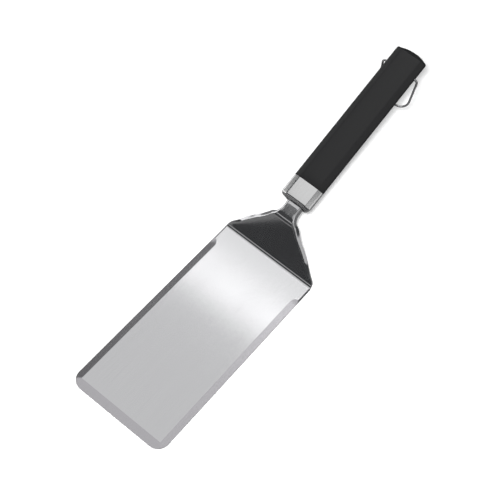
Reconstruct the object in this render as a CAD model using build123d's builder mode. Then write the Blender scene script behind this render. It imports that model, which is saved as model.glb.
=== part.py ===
from build123d import *
from math import cos, radians, sin, tan
import os

os.makedirs("parts", exist_ok=True)

# Frame: the middle of the blade's underside is the origin, +X runs to the grip's end,
# +Y to the left of someone holding it, +Z up. The blade lies flat. Sizes are in mm.

# Blade
blade_length = 177.5
front_width = 90.0
heel_width = 86.6
sheet = 1.6
front_corner_radius = 10.0
front_bevel = 7.0
side_bevel = 5.5
edge_left = 0.5
side_edge_left = 0.9
bevel_run_out = 18.0

# Shoulder and neck, pressed from the blade's own sheet
shoulder_angle = 64.6
shoulder_rise = 41.8
crease_radius = 4.0
bend_radius = 9.0
neck_half_width = 7.3
rim_depth = 5.0
under_hollow = 0.02
fold_share = 0.6
neck_in_ferrule = 8.0

# Grip and ferrule: one outline, wide just under its flat top and narrow below
grip_angle = 16.5
neck_drop = 5.5
top_half = 8.9
wide_half = 14.4
wide_drop = 2.2
base_half = 8.6
grip_depth = 18.0
ferrule_start = 12.5
ferrule_length = 18.4
ferrule_wall = 1.0
ferrule_nose = 3.0
spigot_length = 9.0
spigot_fit = 0.05
grip_length = 132.0
end_radius = 2.4

# Tang, its weld beads and the seal around the neck
tang_thick = 3.0
tang_side_gap = 0.2
tang_start = 8.0
tang_into_grip = 78.0
tang_end_gap = 1.0
weld_leg = 2.0
seal_margin = 1.3
seal_set_back = 0.6

# Hanging loop
wire = 1.8
pivot_fit = 0.05
pivot_from_end = 18.4
pivot_drop = 3.3
pin_length = 7.0
loop_half = 16.6
loop_foot_half = 14.2
loop_length = 36.0
loop_corner_radius = 2.4
loop_round_radius = 13.2
loop_rest = 12.0

heel_x = blade_length / 2
front_x = -blade_length / 2
shoulder = radians(shoulder_angle)
grip_tilt = radians(grip_angle)

# The bend between shoulder and neck, on the top face of the sheet
bend_x = heel_x + shoulder_rise * cos(shoulder)
bend_z = sheet + shoulder_rise * sin(shoulder)


def in_grip(along, up=0.0):
    """World x and z of a point measured from the bend: along the grip, and above its flat top."""
    height = neck_drop + up
    x = bend_x + along * cos(grip_tilt) - height * sin(grip_tilt)
    z = bend_z + along * sin(grip_tilt) + height * cos(grip_tilt)
    return x, z


def grip_plane(along):
    """Plane across the grip: its x runs along world Y, its y up out of the flat top."""
    x, z = in_grip(along)
    return Plane(
        origin=(x, 0, z), x_dir=(0, 1, 0), z_dir=(cos(grip_tilt), 0, sin(grip_tilt))
    )


def grip_side_plane():
    """Plane through the middle of the grip: its x runs along the grip, its y up."""
    x, z = in_grip(0)
    return Plane(origin=(x, 0, z), x_dir=(cos(grip_tilt), 0, sin(grip_tilt)), z_dir=(0, -1, 0))


def grip_outline():
    """The half outlines of grip and ferrule, as one closed list of corners."""
    right = [
        (top_half, 0),
        (wide_half, -wide_drop),
        (base_half, -grip_depth),
    ]
    left = [(-across, up) for across, up in reversed(right)]
    return right + left


# Path of the sheet's top face: crease, shoulder, bend, neck
first_turn = shoulder
second_turn = shoulder - grip_tilt
crease_tangent = crease_radius * tan(first_turn / 2)
bend_tangent = bend_radius * tan(second_turn / 2)
crease_arc = crease_radius * first_turn
flat_run = shoulder_rise - crease_tangent - bend_tangent
bend_arc = bend_radius * second_turn
neck_end = ferrule_start + ferrule_wall + neck_in_ferrule
neck_run = neck_end - bend_tangent


def sheet_plane(distance):
    """Plane across the sheet at a distance along its top face from where the crease begins."""
    x = heel_x - crease_tangent
    z = sheet
    if distance <= crease_arc:
        angle = distance / crease_radius
        x += crease_radius * sin(angle)
        z += crease_radius * (1 - cos(angle))
    elif distance <= crease_arc + flat_run:
        angle = first_turn
        reach = crease_tangent + distance - crease_arc
        x = heel_x + reach * cos(shoulder)
        z = sheet + reach * sin(shoulder)
    elif distance <= crease_arc + flat_run + bend_arc:
        turned = (distance - crease_arc - flat_run) / bend_radius
        angle = shoulder - turned
        x = bend_x - bend_tangent * cos(shoulder)
        z = bend_z - bend_tangent * sin(shoulder)
        x += bend_radius * (sin(shoulder) - sin(angle))
        z += bend_radius * (cos(angle) - cos(shoulder))
    else:
        angle = grip_tilt
        reach = bend_tangent + distance - crease_arc - flat_run - bend_arc
        x = bend_x + reach * cos(grip_tilt)
        z = bend_z + reach * sin(grip_tilt)
    return Plane(origin=(x, 0, z), x_dir=(0, 1, 0), z_dir=(cos(angle), 0, sin(angle)))


def sheet_outline(half, rim, roll):
    """Outline of the pressed sheet: flat top, rolled shoulders and two rims hanging down."""
    inner = half - sheet - fold_share * roll
    right = [
        (half - roll, 0),
        (half, -roll),
        (half, -rim),
        (half - sheet, -rim),
        (inner, under_hollow - sheet),
    ]
    left = [(-across, up) for across, up in reversed(right)]
    return right + left


# Each pressed section: share of the way up the shoulder, half width, rim depth, edge roll
heel_half = heel_width / 2
shoulder_sections = [
    (0.00, 0.970, 0.00, 0.10),
    (0.20, 0.845, 0.02, 0.15),
    (0.40, 0.725, 0.10, 0.30),
    (0.60, 0.585, 0.30, 0.55),
    (0.80, 0.430, 0.50, 0.80),
    (1.00, 0.300, 0.80, 1.00),
]
neck_roll = 2.2
plain_roll = 0.3
crease_share = 0.99
bend_flare = 2.8
neck_flare = 1.2
settle = 4.0

sections = [
    (0.0, heel_half, sheet, plain_roll),
    (crease_arc / 2, heel_half * crease_share, sheet, plain_roll),
]
for share, width_share, rim_share, roll_share in shoulder_sections:
    distance = crease_arc + share * flat_run
    rim = sheet + rim_share * (rim_depth - sheet)
    sections.append((distance, heel_half * width_share, rim, max(plain_roll, neck_roll * roll_share)))
neck_begins = crease_arc + flat_run + bend_arc
sections.append((neck_begins - bend_arc / 2, neck_half_width + bend_flare, rim_depth, neck_roll))
sections.append((neck_begins, neck_half_width + neck_flare, rim_depth, neck_roll))
sections.append((neck_begins + settle, neck_half_width, rim_depth, neck_roll))
sections.append((neck_begins + neck_run, neck_half_width, rim_depth, neck_roll))

with BuildPart() as pressed_neck:
    for distance, half, rim, roll in sections:
        with BuildSketch(sheet_plane(distance)):
            Polygon(*sheet_outline(half, rim, roll), align=None)
    loft(ruled=True)

blade_end = heel_x - crease_tangent
front_half = front_width / 2
side_slope = (front_half - heel_half) / (blade_end - front_x)
run_out_x = blade_end - bevel_run_out
run_out_half = heel_half + side_slope * (blade_end - run_out_x)
overshoot = 1.0
side_cut = sheet - side_edge_left
front_cut = sheet - edge_left

with BuildPart() as blade:
    with BuildSketch(Plane.XY):
        Polygon(
            (front_x, -front_half),
            (blade_end, -heel_half),
            (blade_end, heel_half),
            (front_x, front_half),
            align=None,
        )
        fillet(vertices().group_by(Axis.X)[0], front_corner_radius)
    extrude(amount=sheet)
    with BuildSketch(Plane.XZ):
        Polygon(
            (front_x + front_bevel, sheet),
            (front_x + front_bevel, sheet + overshoot),
            (front_x - overshoot, sheet + overshoot),
            (front_x - overshoot, edge_left - front_cut * overshoot / front_bevel),
            align=None,
        )
    extrude(amount=front_width, both=True, mode=Mode.SUBTRACT)
    for side in (-1, 1):
        edge_run = Vector(-1, side * side_slope, 0).normalized()
        with BuildSketch(
            Plane(
                origin=(run_out_x, side * run_out_half, sheet),
                x_dir=(-side_slope, -side, 0),
                z_dir=edge_run,
            )
        ):
            Polygon(
                (side_bevel, 0),
                (side_bevel, side * overshoot),
                (-overshoot, side * overshoot),
                (-overshoot, -side * side_cut * (1 + overshoot / side_bevel)),
                align=None,
            )
        extrude(amount=blade_length, mode=Mode.SUBTRACT)
        with Locations((run_out_x, side * run_out_half, sheet - side_cut / 2)):
            Cone(0, side_bevel, side_cut, mode=Mode.SUBTRACT)
    add(pressed_neck.part)

blade.part.label = "blade"
export_step(blade.part, "parts/blade.step")

# Tang: a flat bar under the neck, welded there and moulded into the grip
spigot_start = ferrule_start + ferrule_length - spigot_length
grip_start = ferrule_start + ferrule_length
grip_end = grip_start + grip_length
tang_half = neck_half_width - sheet - fold_share * neck_roll - tang_side_gap
tang_top = -neck_drop - sheet
tang_end = grip_start + tang_into_grip

with BuildPart() as tang:
    with BuildSketch(grip_plane(tang_start)):
        with Locations((0, tang_top)):
            Rectangle(2 * tang_half, tang_thick, align=(Align.CENTER, Align.MAX))
    extrude(amount=tang_end - tang_start)

tang.part.label = "tang"
export_step(tang.part, "parts/tang.step")

with BuildPart() as tang_weld:
    with BuildSketch(grip_side_plane()):
        Polygon(
            (tang_start, tang_top),
            (tang_start - weld_leg, tang_top),
            (tang_start, tang_top - weld_leg),
            align=None,
        )
    extrude(amount=tang_half, both=True)

tang_weld.part.label = "tang_weld"
export_step(tang_weld.part, "parts/tang_weld.step")

# Ferrule: a steel cap with a rounded nose and a slot for the neck
slot_half = neck_half_width + seal_margin
slot_top = -neck_drop + seal_margin
slot_height = rim_depth + 2 * seal_margin

with BuildPart() as ferrule:
    with BuildSketch(grip_plane(ferrule_start)):
        Polygon(*grip_outline(), align=None)
    extrude(amount=ferrule_length)
    fillet(faces().sort_by(Axis.X)[0].edges(), ferrule_nose)

with BuildPart() as ferrule_core:
    with BuildSketch(grip_plane(ferrule_start + ferrule_wall)):
        Polygon(*grip_outline(), align=None)
        offset(amount=-ferrule_wall, kind=Kind.INTERSECTION)
    extrude(amount=ferrule_length - ferrule_wall)
    fillet(faces().sort_by(Axis.X)[0].edges(), ferrule_nose - ferrule_wall)

with BuildPart() as ferrule_cap:
    add(ferrule.part)
    add(ferrule_core.part, mode=Mode.SUBTRACT)
    with BuildSketch(grip_plane(ferrule_start)):
        with Locations((0, slot_top)):
            Rectangle(2 * slot_half, slot_height, align=(Align.CENTER, Align.MAX))
    extrude(amount=ferrule_nose, both=True, mode=Mode.SUBTRACT)

ferrule_cap.part.label = "ferrule"
export_step(ferrule_cap.part, "parts/ferrule.step")

with BuildPart() as neck_seal:
    with BuildSketch(grip_plane(ferrule_start + seal_set_back)):
        with Locations((0, slot_top)):
            Rectangle(2 * slot_half, slot_height, align=(Align.CENTER, Align.MAX))
    extrude(amount=spigot_start - ferrule_start - seal_set_back)
    add(ferrule_cap.part, mode=Mode.SUBTRACT)
    add(blade.part, mode=Mode.SUBTRACT)
    add(tang.part, mode=Mode.SUBTRACT)

neck_seal.part.label = "neck_seal"
export_step(neck_seal.part, "parts/neck_seal.step")

# Grip: moulded around the tang, with a spigot inside the ferrule
pivot_along = grip_end - pivot_from_end
pivot_x, pivot_z = in_grip(pivot_along, -pivot_drop)
pin_plane = Plane(origin=(pivot_x, 0, pivot_z), x_dir=(1, 0, 0), z_dir=(0, -1, 0))

with BuildPart() as grip:
    with BuildSketch(grip_plane(grip_start)):
        Polygon(*grip_outline(), align=None)
    extrude(amount=grip_length)
    fillet(faces().sort_by(Axis.X)[-1].edges(), end_radius)
    with BuildSketch(grip_plane(spigot_start)):
        Polygon(*grip_outline(), align=None)
        offset(amount=-ferrule_wall - spigot_fit, kind=Kind.INTERSECTION)
    extrude(amount=spigot_length)
    with BuildSketch(grip_plane(spigot_start)):
        with Locations((0, tang_top)):
            Rectangle(2 * tang_half, tang_thick, align=(Align.CENTER, Align.MAX))
    extrude(amount=tang_end + tang_end_gap - spigot_start, mode=Mode.SUBTRACT)
    with BuildSketch(pin_plane):
        Circle(wire / 2 + pivot_fit)
    extrude(amount=2 * wide_half, both=True, mode=Mode.SUBTRACT)

grip.part.label = "grip"
export_step(grip.part, "parts/grip.step")

# Hanging loop: one bent wire whose two ends turn in the grip's cross hole. It rests swung
# towards the blade from straight down.
loop_tilt = radians(loop_rest)
loop_plane = Plane(
    origin=(pivot_x, 0, pivot_z), x_dir=(0, 1, 0), z_dir=(cos(loop_tilt), 0, -sin(loop_tilt))
)
pin_start = wide_half - pin_length

with BuildPart() as hanging_loop:
    with BuildLine(loop_plane):
        FilletPolyline(
            (-pin_start, 0),
            (-loop_half, 0),
            (-loop_foot_half, -loop_length),
            (loop_foot_half, -loop_length),
            (loop_half, 0),
            (pin_start, 0),
            radius=[loop_corner_radius, loop_round_radius, loop_round_radius, loop_corner_radius],
        )
    with BuildSketch(Plane(origin=(pivot_x, -pin_start, pivot_z), z_dir=(0, -1, 0))):
        Circle(wire / 2)
    sweep()

hanging_loop.part.label = "hanging_loop"
export_step(hanging_loop.part, "parts/hanging_loop.step")
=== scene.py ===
"""A grill spatula: bevelled blade, pressed shoulder and neck, ferrule, black grip, wire loop."""

import math

import bmesh
import bpy
import numpy as np
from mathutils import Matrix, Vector


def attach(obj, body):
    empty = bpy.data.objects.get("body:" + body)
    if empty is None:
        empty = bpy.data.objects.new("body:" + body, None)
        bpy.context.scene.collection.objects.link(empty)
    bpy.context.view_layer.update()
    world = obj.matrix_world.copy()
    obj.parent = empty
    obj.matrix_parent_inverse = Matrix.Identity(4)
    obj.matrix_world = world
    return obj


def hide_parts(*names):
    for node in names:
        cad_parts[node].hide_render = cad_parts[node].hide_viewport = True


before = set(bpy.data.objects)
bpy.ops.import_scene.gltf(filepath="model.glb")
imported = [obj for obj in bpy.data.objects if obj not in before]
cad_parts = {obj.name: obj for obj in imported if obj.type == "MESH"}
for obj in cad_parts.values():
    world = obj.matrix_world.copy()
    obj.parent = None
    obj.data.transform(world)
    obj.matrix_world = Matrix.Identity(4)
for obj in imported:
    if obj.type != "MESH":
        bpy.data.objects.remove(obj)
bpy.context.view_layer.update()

MM = 0.001

# Sizes of the tool, in mm, as the CAD model has them
BLADE_LENGTH = 177.5
FRONT_WIDTH = 90.0
HEEL_WIDTH = 86.6
SHEET = 1.6
FRONT_CORNER_RADIUS = 10.0
FRONT_BEVEL = 7.0
SIDE_BEVEL = 5.5
EDGE_LEFT = 0.5
SIDE_EDGE_LEFT = 0.9
BEVEL_RUN_OUT = 18.0

SHOULDER_ANGLE = math.radians(64.6)
SHOULDER_RISE = 41.8
CREASE_RADIUS = 4.0
BEND_RADIUS = 9.0
NECK_HALF = 7.3
NECK_IN_FERRULE = 8.0

GRIP_ANGLE = math.radians(16.5)
NECK_DROP = 5.5
TOP_HALF = 8.9
WIDE_HALF = 14.4
WIDE_DROP = 2.2
BASE_HALF = 8.6
GRIP_DEPTH = 18.0
FERRULE_START = 12.5
FERRULE_LENGTH = 18.4
FERRULE_WALL = 1.0
FERRULE_NOSE = 3.0
GRIP_LENGTH = 132.0
END_RADIUS = 2.2
RIM_DEPTH = 5.0
SEAL_MARGIN = 1.3

WIRE = 1.8
PIVOT_FIT = 0.05
PIVOT_FROM_END = 18.4
PIVOT_DROP = 3.3
PIN_LENGTH = 7.0
LOOP_HALF = 16.6
LOOP_FOOT_HALF = 14.2
LOOP_LENGTH = 36.0
LOOP_CORNER_RADIUS = 2.4
LOOP_ROUND_RADIUS = 13.2
LOOP_REST = math.radians(12.0)

FRONT_X = -BLADE_LENGTH / 2
HEEL_X = BLADE_LENGTH / 2
FRONT_HALF = FRONT_WIDTH / 2
HEEL_HALF = HEEL_WIDTH / 2
BEND_X = HEEL_X + SHOULDER_RISE * math.cos(SHOULDER_ANGLE)
BEND_Z = SHEET + SHOULDER_RISE * math.sin(SHOULDER_ANGLE)
GRIP_ALONG = np.array([math.cos(GRIP_ANGLE), 0.0, math.sin(GRIP_ANGLE)])
GRIP_UP = np.array([-math.sin(GRIP_ANGLE), 0.0, math.cos(GRIP_ANGLE)])
GRIP_ORIGIN = np.array([BEND_X, 0.0, BEND_Z]) + NECK_DROP * GRIP_UP
GRIP_START = FERRULE_START + FERRULE_LENGTH
GRIP_END = GRIP_START + GRIP_LENGTH
PIVOT = GRIP_ORIGIN + (GRIP_END - PIVOT_FROM_END) * GRIP_ALONG - PIVOT_DROP * GRIP_UP


def in_grip(along, across, up):
    """Point, in mm, from its place along, across and above the flat top of the grip."""
    return GRIP_ORIGIN + along * GRIP_ALONG + up * GRIP_UP + np.array([0.0, across, 0.0])


# ---------------------------------------------------------------- camera, floor and lights

CAMERA_PLACE = Vector((-0.3510, -0.3557, 1.0570))
CAMERA_LOOK = Vector((0.36160, 0.30850, -0.87982))
CAMERA_LENS = 110.4


def place_camera():
    camera = bpy.data.objects.new("camera", bpy.data.cameras.new("camera"))
    bpy.context.scene.collection.objects.link(camera)
    camera.data.lens = CAMERA_LENS
    camera.data.sensor_width = 36.0
    camera.data.clip_end = 20.0
    camera.location = CAMERA_PLACE
    camera.rotation_euler = CAMERA_LOOK.to_track_quat("-Z", "Y").to_euler()
    bpy.context.scene.camera = camera


def soft_box(name, place, aim, size, brightness):
    """A rectangular light at a place, facing a point; its brightness is what a mirror shows."""
    data = bpy.data.lights.new(name, "AREA")
    data.shape = "RECTANGLE"
    data.size, data.size_y = size
    data.energy = brightness * math.pi * size[0] * size[1]
    light = bpy.data.objects.new(name, data)
    bpy.context.scene.collection.objects.link(light)
    light.location = place
    light.rotation_euler = (Vector(aim) - Vector(place)).to_track_quat("-Z", "Y").to_euler()
    return light


# ---------------------------------------------------------------- shader nodes


class Value:
    """A node socket that takes part in Python arithmetic."""

    def __init__(self, finish, socket):
        self.finish = finish
        self.socket = socket

    def _maths(self, operation, *terms):
        return self.finish.node("ShaderNodeMath", {"operation": operation}, *terms)

    def __add__(self, other):
        return self._maths("ADD", self, other)

    def __sub__(self, other):
        return self._maths("SUBTRACT", self, other)

    def __mul__(self, other):
        return self._maths("MULTIPLY", self, other)

    def above(self, level, softness):
        """0 below the level and 1 above it, changing over the softness."""
        span = {"interpolation_type": "SMOOTHSTEP"}
        return self.finish.node("ShaderNodeMapRange", span, self, level, level + softness)


class Finish:
    """One procedural material, written node by node."""

    def __init__(self, name):
        self.material = bpy.data.materials.new(name)
        self.material.use_nodes = True
        self.tree = self.material.node_tree
        self.tree.nodes.clear()
        self.output = self.tree.nodes.new("ShaderNodeOutputMaterial")
        self.shader = self.tree.nodes.new("ShaderNodeBsdfPrincipled")
        self.tree.links.new(self.shader.outputs[0], self.output.inputs["Surface"])

    def node(self, kind, settings=None, *values, out=0, **named):
        """Adds a node: settings first, then sockets by order (None skips one) or by name."""
        made = self.tree.nodes.new(kind)
        for key, value in (settings or {}).items():
            if key == "stops":
                self._stops(made.color_ramp, value)
            else:
                setattr(made, key, value)
        for key, value in [*enumerate(values), *named.items()]:
            socket = made.inputs[key if isinstance(key, int) else key.replace("_", " ")]
            self.feed(socket, value)
        return Value(self, made.outputs[out])

    def _stops(self, ramp, stops):
        while len(ramp.elements) < len(stops):
            ramp.elements.new(0.5)
        for element, (place, grey) in zip(ramp.elements, stops):
            element.position = place
            element.color = (grey, grey, grey, 1)

    def feed(self, socket, value):
        if isinstance(value, Value):
            self.tree.links.new(value.socket, socket)
        elif value is not None:
            socket.default_value = value

    def surface(self, **sockets):
        for name, value in sockets.items():
            self.feed(self.shader.inputs[name.replace("_", " ")], value)

    def place(self, source, scale, turn=0.0):
        """Coordinates of the piece, in metres, scaled and turned about Z."""
        if source == "sheet":
            start = self.node("ShaderNodeUVMap", {"uv_map": "sheet"})
        else:
            start = self.node("ShaderNodeTexCoord", out="Object")
        return self.node("ShaderNodeMapping", None, start, Rotation=(0, 0, turn), Scale=scale)

    def noise(self, place, scale, detail=2.0, roughness=0.5):
        return self.node(
            "ShaderNodeTexNoise", None, place, Scale=scale, Detail=detail, Roughness=roughness
        )

    def tint(self, share, low, high):
        """Colour between two colours; a Mix node keeps five sockets of other kinds before them."""
        skipped = [None] * 5
        return self.node("ShaderNodeMix", {"data_type": "RGBA"}, share, *skipped, low, high, out=2)

    def bump(self, height, strength, distance, under=None):
        sockets = {"Strength": strength, "Distance": distance, "Height": height}
        if under is not None:
            sockets["Normal"] = under
        return self.node("ShaderNodeBump", None, **sockets)


# ---------------------------------------------------------------- meshes


def mesh_piece(name, points, faces, finishes, face_finish=None, sheet_uv=None, sharp=35.0):
    """A mesh object from points in mm; corners sharper than the angle stay crisp."""
    mesh = bpy.data.meshes.new(name)
    mesh.from_pydata([tuple(p * MM) for p in points], [], faces)
    for finish in finishes:
        mesh.materials.append(finish)
    if face_finish is not None:
        mesh.polygons.foreach_set("material_index", face_finish)
    if sheet_uv is not None:
        layer = mesh.uv_layers.new(name="sheet")
        for loop in mesh.loops:
            layer.data[loop.index].uv = sheet_uv[loop.vertex_index] * MM
    tidy_mesh(mesh, sharp)
    piece = bpy.data.objects.new(name, mesh)
    bpy.context.scene.collection.objects.link(piece)
    return piece


def tidy_mesh(mesh, sharp):
    """Merges doubles, turns the faces outwards and shades smooth up to an angle."""
    work = bmesh.new()
    work.from_mesh(mesh)
    bmesh.ops.remove_doubles(work, verts=work.verts, dist=1e-7)
    bmesh.ops.dissolve_degenerate(work, edges=work.edges, dist=1e-7)
    bmesh.ops.recalc_face_normals(work, faces=work.faces)
    work.to_mesh(mesh)
    work.free()
    mesh.shade_smooth()
    mesh.set_sharp_from_angle(angle=math.radians(sharp))


def cut(piece, cutter, sharp=35.0):
    """Takes the cutter's shape out of the piece and keeps the result as a plain mesh."""
    step = piece.modifiers.new("cut", "BOOLEAN")
    step.operation = "DIFFERENCE"
    step.solver = "EXACT"
    step.object = cutter
    graph = bpy.context.evaluated_depsgraph_get()
    result = bpy.data.meshes.new_from_object(piece.evaluated_get(graph))
    piece.modifiers.remove(step)
    piece.data = result
    bpy.data.objects.remove(cutter)
    tidy_mesh(result, sharp)


def smooth_between(stops):
    """A smooth curve through (place, value) stops, without overshoot, as a function of place."""
    places = np.array([stop[0] for stop in stops], float)
    values = np.array([stop[1] for stop in stops], float)
    slopes = np.diff(values) / np.diff(places)
    inner = np.where(
        slopes[:-1] * slopes[1:] > 0,
        2 * slopes[:-1] * slopes[1:] / (slopes[:-1] + slopes[1:] + 1e-12),
        0.0,
    )
    tangents = np.concatenate([[slopes[0]], inner, [slopes[-1]]])

    def value_at(place):
        k = int(np.clip(np.searchsorted(places, place) - 1, 0, len(places) - 2))
        span = places[k + 1] - places[k]
        t = np.clip((place - places[k]) / span, 0, 1)
        keep, move = (1 + 2 * t) * (1 - t) ** 2, t * t * (3 - 2 * t)
        bends = t * (1 - t) ** 2 * tangents[k] - t * t * (1 - t) * tangents[k + 1]
        return keep * values[k] + move * values[k + 1] + span * bends

    return value_at


def ease(low, high, place):
    t = np.clip((place - low) / (high - low), 0, 1)
    return t * t * (3 - 2 * t)


# ---------------------------------------------------------------- the pressed blade sheet

# The neck rises a little more steeply than the grip until it reaches the ferrule
NECK_ANGLE = GRIP_ANGLE + math.radians(7.0)
NECK_LOWERED = 1.4
SHOULDER_LESS = NECK_LOWERED / math.sin(SHOULDER_ANGLE - GRIP_ANGLE)
NECK_SLOPE_RUN = NECK_LOWERED / math.sin(NECK_ANGLE - GRIP_ANGLE)
NECK_BEND_X = BEND_X - SHOULDER_LESS * math.cos(SHOULDER_ANGLE)
NECK_BEND_Z = BEND_Z - SHOULDER_LESS * math.sin(SHOULDER_ANGLE)
BEND_TURN = SHOULDER_ANGLE - NECK_ANGLE
CREASE_TANGENT = CREASE_RADIUS * math.tan(SHOULDER_ANGLE / 2)
BEND_TANGENT = BEND_RADIUS * math.tan(BEND_TURN / 2)
CREASE_ARC = CREASE_RADIUS * SHOULDER_ANGLE
FLAT_RUN = SHOULDER_RISE - SHOULDER_LESS - CREASE_TANGENT - BEND_TANGENT
BEND_ARC = BEND_RADIUS * BEND_TURN
NECK_BEGINS = CREASE_ARC + FLAT_RUN + BEND_ARC
NECK_RUN = FERRULE_START + FERRULE_WALL + NECK_IN_FERRULE - BEND_TANGENT + SHOULDER_LESS / 2
BLADE_END = HEEL_X - CREASE_TANGENT
RUN_OUT_X = BLADE_END - BEVEL_RUN_OUT
SIDE_SLOPE = (FRONT_HALF - HEEL_HALF) / (BLADE_END - FRONT_X)

# Half width of the sheet up the shoulder, as a share of its half width at the heel
SHOULDER_SHARES = [
    (0.0, 0.970),
    (0.2, 0.845),
    (0.4, 0.725),
    (0.6, 0.585),
    (0.8, 0.430),
    (1.0, 0.300),
]
BEND_FLARE = 2.8
NECK_FLARE = 1.2
NECK_SETTLES = 4.0

half_width_at = smooth_between(
    [(0.0, HEEL_HALF)]
    + [(CREASE_ARC + up * FLAT_RUN, HEEL_HALF * share) for up, share in SHOULDER_SHARES]
    + [
        (NECK_BEGINS - BEND_ARC / 2, NECK_HALF + BEND_FLARE),
        (NECK_BEGINS, NECK_HALF + NECK_FLARE),
        (NECK_BEGINS + NECK_SETTLES, NECK_HALF),
        (NECK_BEGINS + NECK_RUN, NECK_HALF),
    ]
)

# The sheet's two edges: first turned down into flanges, then rolled under along the neck
RIM_ROLL = 2.6
RIM_STRAIGHT = 2.2
FLANGE_TURN = math.radians(46)
RIM_TURN = math.radians(84)
ROLL_STARTS = CREASE_ARC + 0.02 * FLAT_RUN
ROLL_ENDS = CREASE_ARC + 0.55 * FLAT_RUN
UNDER_STARTS = CREASE_ARC + 0.6 * FLAT_RUN


def sheet_frame(distance):
    """Point on the middle of the top face, past where the crease begins, and the slope there."""
    if distance <= CREASE_ARC:
        angle = distance / CREASE_RADIUS
        x = BLADE_END + CREASE_RADIUS * math.sin(angle)
        z = SHEET + CREASE_RADIUS * (1 - math.cos(angle))
    elif distance <= CREASE_ARC + FLAT_RUN:
        angle = SHOULDER_ANGLE
        reach = CREASE_TANGENT + distance - CREASE_ARC
        x = HEEL_X + reach * math.cos(angle)
        z = SHEET + reach * math.sin(angle)
    elif distance <= NECK_BEGINS:
        angle = SHOULDER_ANGLE - (distance - CREASE_ARC - FLAT_RUN) / BEND_RADIUS
        turned_x = math.sin(SHOULDER_ANGLE) - math.sin(angle)
        turned_z = math.cos(angle) - math.cos(SHOULDER_ANGLE)
        x = NECK_BEND_X - BEND_TANGENT * math.cos(SHOULDER_ANGLE) + BEND_RADIUS * turned_x
        z = NECK_BEND_Z - BEND_TANGENT * math.sin(SHOULDER_ANGLE) + BEND_RADIUS * turned_z
    else:
        reach = BEND_TANGENT + distance - NECK_BEGINS
        sloping = min(reach, NECK_SLOPE_RUN)
        level = reach - sloping
        angle = GRIP_ANGLE if level > 0 else NECK_ANGLE
        x = NECK_BEND_X + sloping * math.cos(NECK_ANGLE) + level * math.cos(GRIP_ANGLE)
        z = NECK_BEND_Z + sloping * math.sin(NECK_ANGLE) + level * math.sin(GRIP_ANGLE)
    return np.array([x, 0, z]), angle


# The upper edges of the sheet are worn round: how far they fall, and over what width
EDGE_FALL = 0.45
EDGE_WORN = 1.6


def blade_half(x):
    """Half width of the flat blade, with its two rounded front corners."""
    line = FRONT_HALF - SIDE_SLOPE * (x - FRONT_X)
    into = FRONT_CORNER_RADIUS - (x - FRONT_X)
    if into <= 0:
        return line
    return line - FRONT_CORNER_RADIUS + math.sqrt(max(FRONT_CORNER_RADIUS**2 - into**2, 0))


def blade_top(x, y):
    """Height of the flat blade's upper face, ground down along its front and both sides."""
    front = EDGE_LEFT + (SHEET - EDGE_LEFT) * (x - FRONT_X) / FRONT_BEVEL
    from_side = FRONT_HALF - SIDE_SLOPE * (x - FRONT_X) - abs(y)
    from_edge = from_side
    if x > RUN_OUT_X:
        from_side = math.hypot(x - RUN_OUT_X, from_side)
    side = SIDE_EDGE_LEFT + (SHEET - SIDE_EDGE_LEFT) * from_side / SIDE_BEVEL
    return min(SHEET, front, side, SHEET - edge_round(from_edge))


def edge_round(from_edge):
    """How far the sheet's worn upper edge falls, near the edge."""
    return EDGE_FALL * max(1 - from_edge / EDGE_WORN, 0) ** 2


# How finely the sheet is divided, in mm: places on both sides of a bevel's line keep it crisp
BEVEL_STEP = 0.3
BEVEL_LINE_NEAR = 0.08
MIDDLE_STEPS = 13
PRESSED_STEP = 0.8


def across_places(reach):
    """Distances in from the rim, finer near it, for a half sheet that reaches so far across."""
    over_bevel = np.arange(0, SIDE_BEVEL - 0.1, BEVEL_STEP)
    bevel_line = [SIDE_BEVEL - BEVEL_LINE_NEAR, SIDE_BEVEL + BEVEL_LINE_NEAR]
    near = np.concatenate([over_bevel, bevel_line, np.arange(6.0, 8.1, 0.5)])
    rest = near[-1] + (reach - near[-1]) * np.linspace(0, 1, MIDDLE_STEPS)[1:]
    return np.concatenate([near, rest])


def sheet_across(distance, x):
    """One line of points over the sheet, rim to rim, on its top and on its underside."""
    if distance <= 0:
        half = blade_half(x)
        places = half - across_places(half)
        places = np.concatenate([-places, places[-2::-1]])
        top = [np.array([x, y, blade_top(x, y)]) for y in places]
        under = [np.array([x, y, 0.0]) for y in places]
        return top, under, places
    origin, slope = sheet_frame(distance)
    up = np.array([-math.sin(slope), 0, math.cos(slope)])
    turn = FLANGE_TURN * ease(ROLL_STARTS, ROLL_ENDS, distance)
    turn += (RIM_TURN - FLANGE_TURN) * ease(UNDER_STARTS, NECK_BEGINS, distance)
    outer = half_width_at(distance)
    flat = outer - RIM_ROLL * math.sin(turn) - RIM_STRAIGHT * math.cos(turn)
    reach = flat + RIM_ROLL * turn + RIM_STRAIGHT
    top, under, places = [], [], []
    for side in (-1, 1):
        line = []
        for from_rim in across_places(reach):
            run = reach - from_rim
            past = max(run - flat, 0)
            angle = min(past / RIM_ROLL, turn)
            straight = max(past - RIM_ROLL * turn, 0)
            across = min(run, flat) + RIM_ROLL * math.sin(angle) + straight * math.cos(angle)
            drop = RIM_ROLL * (1 - math.cos(angle)) + straight * math.sin(angle)
            point = origin + np.array([0, side * across, 0]) - drop * up
            outward = np.array([0, side * math.sin(angle), 0]) + math.cos(angle) * up
            line.append((point, point - SHEET * outward, side * run))
        line = line if side < 0 else line[-2::-1]
        top += [point for point, _, _ in line]
        under += [point for _, point, _ in line]
        places += [place for _, _, place in line]
    return top, under, places


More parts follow.
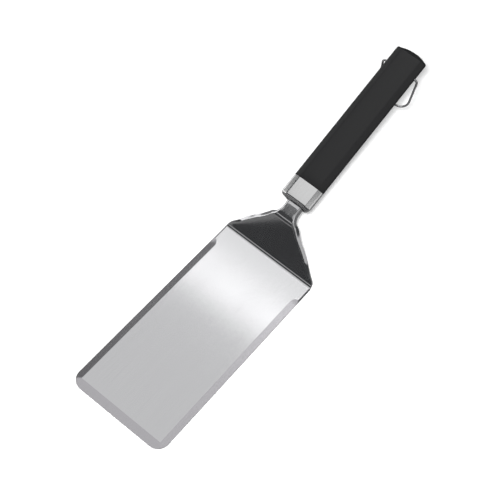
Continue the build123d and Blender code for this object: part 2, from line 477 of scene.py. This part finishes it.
def blade_stations():
    """Places along the sheet, finer in the corners, the bevel run-outs and the bends."""
    corner = FRONT_CORNER_RADIUS * (1 - np.cos(np.linspace(0, math.pi / 2, 22)))
    front = np.unique(np.round(np.concatenate([corner, [6.95, 7.05]]), 3)) + FRONT_X
    middle = np.arange(FRONT_X + 13, RUN_OUT_X - 1, 4.0)
    run_out = np.arange(RUN_OUT_X, BLADE_END - 0.2, 0.5)
    flat = [(x - BLADE_END, x) for x in np.concatenate([front, middle, run_out])]
    pressed = np.concatenate(
        [
            np.linspace(0, CREASE_ARC, 8),
            np.arange(CREASE_ARC + PRESSED_STEP, CREASE_ARC + FLAT_RUN, PRESSED_STEP),
            np.linspace(CREASE_ARC + FLAT_RUN, NECK_BEGINS, 14),
            np.arange(NECK_BEGINS + PRESSED_STEP, NECK_BEGINS + NECK_RUN, PRESSED_STEP),
        ]
    )
    return flat + [(distance, BLADE_END) for distance in pressed]


GROUND_BELOW = 0.02
BLADE_SHARP = 6.0


def make_blade(face, bevel):
    """The whole pressed sheet as one closed shell, its ground bevels in their own finish."""
    points, coordinates, faces, finishes = [], [], [], []
    rows = blade_stations()
    for distance, x in rows:
        top, under, places = sheet_across(distance, x)
        points += top + under
        coordinates += [np.array([distance, place]) for place in places] * 2
    count = len(top)
    row = 2 * count
    for k in range(len(rows) - 1):
        for j in range(count - 1):
            a, b = k * row + j, (k + 1) * row + j
            faces.append((a, a + 1, b + 1, b))
            middle = (points[a] + points[b + 1]) / 2
            ground = rows[k + 1][0] <= 0 and middle[2] < SHEET - GROUND_BELOW
            finishes.append(1 if ground else 0)
            a, b = a + count, b + count
            faces.append((a, b, b + 1, a + 1))
            finishes.append(0)
        for j in (0, count - 1):
            a, b = k * row + j, (k + 1) * row + j
            faces.append((a, b, b + count, a + count))
            finishes.append(0)
    for k in (0, len(rows) - 1):
        for j in range(count - 1):
            a = k * row + j
            faces.append((a, a + count, a + count + 1, a + 1))
            finishes.append(0)
    both = [face, bevel]
    return mesh_piece("blade_sheet", points, faces, both, finishes, coordinates, BLADE_SHARP)


# ---------------------------------------------------------------- ferrule and grip

# Half outline of grip and ferrule: each corner (across, up) and its radius
OUTLINE = [
    ((TOP_HALF, 0.0), 3.0),
    ((WIDE_HALF, -WIDE_DROP), 1.8),
    ((BASE_HALF, -GRIP_DEPTH), 3.4),
]
OUTLINE += [((-across, up), radius) for (across, up), radius in reversed(OUTLINE)]
LEAST_RADIUS = 0.12
ARC_STEPS = 7
SIDE_STEPS = 9
CROWN = 0.35


def outline_loop(inset):
    """The grip's outline drawn in by an inset, with arcs for corners and evenly divided sides."""
    corners = np.array([corner for corner, _ in OUTLINE])
    radii = [max(radius - inset, LEAST_RADIUS) for _, radius in OUTLINE]
    count = len(corners)
    ahead = np.roll(corners, -1, axis=0) - corners
    ahead /= np.linalg.norm(ahead, axis=1)[:, None]
    inward = np.stack([ahead[:, 1], -ahead[:, 0]], 1)
    inward *= np.sign(np.sum(inward[0] * (corners.mean(0) - corners[0])))
    arcs = []
    for k in range(count):
        before, after = ahead[k - 1], ahead[k]
        matrix = np.array([inward[k - 1], inward[k]])
        offset = np.linalg.solve(matrix, np.full(2, inset))
        corner = corners[k] + offset
        turn = math.acos(np.clip(before @ after, -1, 1))
        tangent = radii[k] * math.tan(turn / 2)
        centre = corner - tangent * before + radii[k] * inward[k - 1]
        arc = []
        for t in np.linspace(0, 1, ARC_STEPS):
            mix = (1 - t) * inward[k - 1] + t * inward[k]
            arc.append(centre - radii[k] * mix / np.linalg.norm(mix))
        arcs.append(arc)
    loop = []
    for k in range(count):
        loop += arcs[k]
        start, end = arcs[k][-1], arcs[(k + 1) % count][0]
        loop += [start + (end - start) * t for t in np.linspace(0, 1, SIDE_STEPS)[1:-1]]
    return [np.array([across, up - crown_drop(across, up)]) for across, up in loop]


def crown_drop(across, up):
    """How far the nearly flat top falls away towards its two long ridges."""
    return CROWN * np.clip(1 + up / WIDE_DROP, 0, 1) * min((across / TOP_HALF) ** 2, 1)


def shell(name, rings, finish, sharp=35.0):
    """A closed body through rings of (along, inset, share of full size); they may double back."""
    points, faces = [], []
    for along, inset, share in rings:
        loop = np.array(outline_loop(inset))
        loop = loop.mean(0) + share * (loop - loop.mean(0))
        points += [in_grip(along, across, up) for across, up in loop]
    count = len(points) // len(rings)
    for k in range(len(rings) - 1):
        for j in range(count):
            a, b = k * count + j, k * count + (j + 1) % count
            faces.append((a, b, b + count, a + count))
    faces.append(tuple(range(count)))
    faces.append(tuple(range(len(points) - count, len(points))))
    return mesh_piece(name, points, faces, [finish], sharp=sharp)


def rounded_end(along, radius, direction, steps=9, extra=0.0):
    """Rings of a quarter round that ends at a place along the grip, from its flat to its side."""
    rings = []
    for angle in np.linspace(math.pi / 2, 0, steps):
        back = radius * (1 - math.sin(angle))
        rings.append((along + direction * back, extra + radius * (1 - math.cos(angle)), 1.0))
    return rings


SEAM_ROUND = 0.25
END_DOME = 3.0
SLOT_CORNER = 1.0
PLAIN_RUN_IN = 8
HOLE_SIDES = 32


def prism(name, points, finish):
    """A closed bar between two rings of points, which follow each other in the list."""
    count = len(points) // 2
    faces = [(k, (k + 1) % count, (k + 1) % count + count, k + count) for k in range(count)]
    faces += [tuple(range(count)), tuple(range(count, 2 * count))]
    return mesh_piece(name, points, faces, [finish])


def make_ferrule(finish):
    """A thin steel cap: outside, over its rear rim, back down the inside, then slotted."""
    outside = rounded_end(FERRULE_START, FERRULE_NOSE, 1)
    outside += rounded_end(GRIP_START, SEAM_ROUND, -1, 4)[::-1]
    inner_nose = FERRULE_NOSE - FERRULE_WALL
    inside = rounded_end(FERRULE_START + FERRULE_WALL, inner_nose, 1, extra=FERRULE_WALL)
    rings = outside + [(GRIP_START, FERRULE_WALL, 1.0)] + inside[::-1]
    piece = shell("ferrule_cap", rings, finish)
    slot_half = NECK_HALF + SEAL_MARGIN
    top = SEAL_MARGIN - NECK_DROP
    bottom = top - RIM_DEPTH - 2 * SEAL_MARGIN
    back = FERRULE_START + FERRULE_NOSE
    front = FERRULE_START - FERRULE_NOSE
    corners = [
        in_grip(along, across, up)
        for along in (front, back)
        for across, up in rounded_box(slot_half, bottom, top, SLOT_CORNER)
    ]
    cut(piece, prism("slot", corners, finish))
    return piece


def rounded_box(half, low, high, radius, steps=5):
    """Corners of an upright rounded rectangle, in order."""
    loop = []
    centres = [(half - radius, high - radius), (radius - half, high - radius)]
    centres += [(radius - half, low + radius), (half - radius, low + radius)]
    for quarter, (across, up) in enumerate(centres):
        for t in np.linspace(0, math.pi / 2, steps):
            angle = quarter * math.pi / 2 + t
            loop.append((across + radius * math.cos(angle), up + radius * math.sin(angle)))
    return loop


def make_grip(finish):
    """The moulded grip: rounded at its end, with the cross hole the wire turns in."""
    rings = rounded_end(GRIP_START, SEAM_ROUND, 1, 4)
    plain = np.linspace(GRIP_START + PLAIN_RUN_IN, GRIP_END - PLAIN_RUN_IN, 15)
    rings += [(along, 0.0, 1.0) for along in plain]
    rings += rounded_end(GRIP_END - END_DOME, END_RADIUS, -1, 10)[::-1]
    for share in np.linspace(1.0, 0.05, 9)[1:]:
        rings.append((GRIP_END - END_DOME * share**2, END_RADIUS, share))
    piece = shell("grip_moulding", rings, finish)
    radius = WIRE / 2 + PIVOT_FIT
    hole = [
        PIVOT + np.array([radius * math.cos(angle), across, radius * math.sin(angle)])
        for across in (-2 * WIDE_HALF, 2 * WIDE_HALF)
        for angle in np.linspace(0, 2 * math.pi, HOLE_SIDES, endpoint=False)
    ]
    cut(piece, prism("cross_hole", hole, finish))
    return piece


# ---------------------------------------------------------------- hanging loop


def bent_wire_tree():
    """Geometry Nodes: corners of a route become bends of their own radius, then a round wire."""
    tree = bpy.data.node_groups.new("bent_wire", "GeometryNodeTree")
    face = tree.interface
    face.new_socket("Route", in_out="INPUT", socket_type="NodeSocketGeometry")
    for label, kind in (
        ("Wire radius", "NodeSocketFloat"),
        ("Bend steps", "NodeSocketInt"),
        ("Round steps", "NodeSocketInt"),
        ("Finish", "NodeSocketMaterial"),
    ):
        face.new_socket(label, in_out="INPUT", socket_type=kind)
    face.new_socket("Wire", in_out="OUTPUT", socket_type="NodeSocketGeometry")
    nodes, links = tree.nodes, tree.links

    def add(kind, **settings):
        made = nodes.new(kind)
        for key, value in settings.items():
            setattr(made, key, value)
        return made

    given = add("NodeGroupInput")
    to_curve = add("GeometryNodeMeshToCurve")
    radius = add("GeometryNodeInputNamedAttribute", data_type="FLOAT")
    radius.inputs["Name"].default_value = "bend_radius"
    bend = add("GeometryNodeFilletCurve", mode="POLY")
    circle = add("GeometryNodeCurvePrimitiveCircle", mode="RADIUS")
    skin = add("GeometryNodeCurveToMesh")
    skin.inputs["Fill Caps"].default_value = True
    smooth = add("GeometryNodeSetShadeSmooth")
    realize = add("GeometryNodeRealizeInstances")
    paint = add("GeometryNodeSetMaterial")
    result = add("NodeGroupOutput")
    links.new(given.outputs["Route"], to_curve.inputs["Mesh"])
    links.new(to_curve.outputs["Curve"], bend.inputs["Curve"])
    links.new(given.outputs["Bend steps"], bend.inputs["Count"])
    links.new(radius.outputs["Attribute"], bend.inputs["Radius"])
    links.new(given.outputs["Wire radius"], circle.inputs["Radius"])
    links.new(given.outputs["Round steps"], circle.inputs["Resolution"])
    links.new(bend.outputs["Curve"], skin.inputs["Curve"])
    links.new(circle.outputs["Curve"], skin.inputs["Profile Curve"])
    links.new(skin.outputs["Mesh"], smooth.inputs["Geometry"])
    links.new(smooth.outputs["Geometry"], realize.inputs["Geometry"])
    links.new(realize.outputs["Geometry"], paint.inputs["Geometry"])
    links.new(given.outputs["Finish"], paint.inputs["Material"])
    links.new(paint.outputs["Geometry"], result.inputs["Wire"])
    return tree


def make_loop(finish):
    """One bent wire: two turned-in ends, two straight legs and a half round between them."""
    half = [
        (WIDE_HALF - PIN_LENGTH, 0.0, 0.0),
        (LOOP_HALF, 0.0, LOOP_CORNER_RADIUS),
        (LOOP_FOOT_HALF, LOOP_LENGTH, LOOP_ROUND_RADIUS),
    ]
    route = half + [(-across, down, radius) for across, down, radius in reversed(half)]
    hang = np.array([-math.sin(LOOP_REST), 0, -math.cos(LOOP_REST)])
    mesh = bpy.data.meshes.new("hanging_wire")
    spots = [
        tuple((PIVOT + down * hang + np.array([0, across, 0])) * MM) for across, down, _ in route
    ]
    mesh.from_pydata(spots, [(k, k + 1) for k in range(len(spots) - 1)], [])
    bends = mesh.attributes.new("bend_radius", "FLOAT", "POINT")
    bends.data.foreach_set("value", [radius * MM for _, _, radius in route])
    piece = bpy.data.objects.new("hanging_wire", mesh)
    bpy.context.scene.collection.objects.link(piece)
    step = piece.modifiers.new("bent wire", "NODES")
    step.node_group = bent_wire_tree()
    asked = {"Wire radius": WIRE / 2 * MM, "Bend steps": 18, "Round steps": 20, "Finish": finish}
    for item in step.node_group.interface.items_tree:
        if item.item_type == "SOCKET" and item.name in asked:
            step[item.identifier] = asked[item.name]
    graph = bpy.context.evaluated_depsgraph_get()
    wire = bpy.data.meshes.new_from_object(piece.evaluated_get(graph))
    piece.modifiers.remove(step)
    piece.data = wire
    wire.set_sharp_from_angle(angle=math.radians(50))
    return piece


# ---------------------------------------------------------------- finishes


def brushed_steel(name, tone, roughness, grain, fine=0.3, source="sheet", turn=0.0):
    """Brushed stainless: long fine grain, faint smears and a few stray scratches."""
    finish = Finish(name)
    along, across = grain
    lines = finish.noise(finish.place(source, (along, across, across), turn), 1.0, 3.0, 0.6)
    coarse_place = finish.place(source, (along * 0.4, across * 0.22, across * 0.22), turn)
    coarse = finish.noise(coarse_place, 1.0)
    smears = finish.noise(finish.place(source, (18, 26, 26), turn + 0.4), 1.0, 3.0, 0.55)
    scratch_place = finish.place(source, (26, 900, 900), turn + 0.5)
    scratches = finish.noise(scratch_place, 1.0, 1.0).above(0.70, 0.04)
    finish.surface(
        Base_Color=finish.tint(
            lines * 0.6 + coarse * 0.4,
            (*[c * 0.90 for c in tone], 1),
            (*[min(c * 1.06, 1) for c in tone], 1),
        ),
        Metallic=1.0,
        Roughness=(
            lines * 0.04 + coarse * 0.03 + smears * 0.05 + scratches * 0.05 + (roughness - 0.06)
        ),
        Normal=finish.bump(lines * 0.7 + coarse * 0.3 - scratches * 0.4, fine, 0.00002),
    )
    return finish.material


def black_plastic(name):
    """Moulded black nylon: satin, a fine spark-eroded skin, faint flow and handling marks."""
    finish = Finish(name)
    grain = finish.noise(finish.place("object", (1, 1, 1)), 2600.0, 2.0, 0.6)
    flow = finish.noise(finish.place("object", (14, 60, 60), 0.0), 1.0, 3.0)
    rub = finish.noise(finish.place("object", (45, 45, 45)), 1.0, 4.0, 0.6).above(0.55, 0.25)
    finish.surface(
        Base_Color=finish.tint(flow, (0.014, 0.014, 0.015, 1), (0.024, 0.024, 0.026, 1)),
        Roughness=grain * 0.12 + flow * 0.06 + 0.31 - rub * 0.05,
        Specular_IOR_Level=0.5,
        Normal=finish.bump(grain, 0.22, 0.00005),
    )
    return finish.material


def seal_rubber(name):
    finish = Finish(name)
    skin = finish.noise(finish.place("object", (1, 1, 1)), 1800.0, 3.0)
    finish.surface(
        Base_Color=finish.tint(skin, (0.008, 0.008, 0.008, 1), (0.02, 0.02, 0.02, 1)),
        Roughness=skin * 0.2 + 0.55,
        Normal=finish.bump(skin, 0.3, 0.00008),
    )
    return finish.material


def studio_floor(name):
    """Pale paper: white as seen directly, a mid grey in what the steel mirrors."""
    finish = Finish(name)
    seen = finish.node("ShaderNodeLightPath", out=0)
    finish.surface(
        Base_Color=finish.tint(seen, (0.12, 0.12, 0.12, 1), (0.87, 0.87, 0.87, 1)),
        Roughness=0.9,
        Emission_Color=finish.tint(seen, (0.35, 0.35, 0.35, 1), (1.0, 1.0, 1.0, 1)),
        Emission_Strength=0.2,
    )
    return finish.material


# ---------------------------------------------------------------- the tool

place_camera()

blade_face = brushed_steel("brushed blade face", (0.60, 0.60, 0.61), 0.12, (30, 3200))
blade_bevel = brushed_steel("ground bevel", (0.52, 0.51, 0.53), 0.22, (60, 2600), 0.4)
ferrule_tone = (0.72, 0.72, 0.72)
ferrule_steel = brushed_steel("brushed ferrule", ferrule_tone, 0.20, (60, 2600), 0.3, "object")
wire_steel = brushed_steel("drawn wire", (0.55, 0.55, 0.56), 0.28, (200, 1600), 0.2, "object")
bar_steel = brushed_steel("plain bar", (0.42, 0.42, 0.43), 0.42, (60, 1500), 0.5, "object")
grip_black = black_plastic("moulded black grip")
seal_black = seal_rubber("black neck seal")

blade = make_blade(blade_face, blade_bevel)
ferrule = make_ferrule(ferrule_steel)
grip = make_grip(grip_black)
loop = make_loop(wire_steel)

for piece, node, slot, body in (
    (blade, "blade", "blade_steel", "spatula"),
    (ferrule, "ferrule", "ferrule_steel", "spatula"),
    (grip, "grip", "grip_plastic", "spatula"),
    (loop, "hanging_loop", "wire_steel", "loop"),
):
    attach(piece, body)
    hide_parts(node)

for node, finish in (("tang", bar_steel), ("tang_weld", bar_steel), ("neck_seal", seal_black)):
    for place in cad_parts[node].material_slots:
        place.material = finish

FLOOR_HALF = 6.0
FLOOR_BELOW = 0.0002
floor_corners = [
    (x * FLOOR_HALF, y * FLOOR_HALF, -FLOOR_BELOW) for x, y in ((-1, -1), (1, -1), (1, 1), (-1, 1))
]
floor_mesh = bpy.data.meshes.new("floor")
floor_mesh.from_pydata(floor_corners, [], [(0, 1, 2, 3)])
floor_mesh.materials.append(studio_floor("pale floor"))
floor = bpy.data.objects.new("floor", floor_mesh)
bpy.context.scene.collection.objects.link(floor)

CEILING = 1.5


def ceiling_box(name, low, high, brightness):
    """A soft box in the ceiling, between two corners in x and y, facing straight down."""
    middle = ((low[0] + high[0]) / 2, (low[1] + high[1]) / 2, CEILING)
    below = (middle[0], middle[1], 0)
    box = soft_box(name, middle, below, (high[0] - low[0], high[1] - low[1]), brightness)
    box.rotation_euler = (0, 0, 0)


for name, low, high, brightness in (
    ("ceiling_front", (-0.455, -0.28), (0.550, 0.95), 0.79),
    ("ceiling_band", (0.565, -0.28), (0.655, 0.95), 1.90),
    ("ceiling_heel", (0.66, -0.28), (1.3, 0.95), 1.07),
    ("ceiling_right", (-0.8, -1.30), (0.5, -0.54), 0.9),
):
    ceiling_box(name, low, high, brightness)
for name, place, aim, size, brightness in (
    ("left_wall", (0.1, 1.7, 0.58), (0.1, 0, 0.58), (2.4, 1.15), 1.3),
    ("front_strip", (-1.30, 0.45, 0.72), (0.1, 0, 0.05), (1.2, 0.25), 0.5),
    ("right_wall", (0.1, -1.7, 1.0), (0.1, 0, 0.05), (2.4, 0.8), 0.6),
):
    soft_box(name, place, aim, size, brightness)

# The shadow lamp stands just above and to the left of the camera and lights the floor alone
SHADOW_LAMP_SIZE = 0.08
SHADOW_LAMP_AWAY = 0.05
SHADOW_LAMP_BRIGHTNESS = 700
camera_right = CAMERA_LOOK.cross(Vector((0, 0, 1))).normalized()
camera_up = camera_right.cross(CAMERA_LOOK).normalized()
shadow_place = CAMERA_PLACE + SHADOW_LAMP_AWAY * (camera_up - camera_right).normalized()
shadow_lamp = soft_box(
    "shadow_lamp",
    shadow_place,
    shadow_place + CAMERA_LOOK,
    (SHADOW_LAMP_SIZE, SHADOW_LAMP_SIZE),
    SHADOW_LAMP_BRIGHTNESS,
)
floor_only = bpy.data.collections.new("floor_only")
floor_only.objects.link(floor)
shadow_lamp.light_linking.receiver_collection = floor_only

world = bpy.data.worlds.new("studio")
bpy.context.scene.world = world
world.use_nodes = True
background = world.node_tree.nodes["Background"]
background.inputs["Color"].default_value = (0.9, 0.92, 0.95, 1)
background.inputs["Strength"].default_value = 0.08
bpy.context.scene.view_settings.view_transform = "Standard"
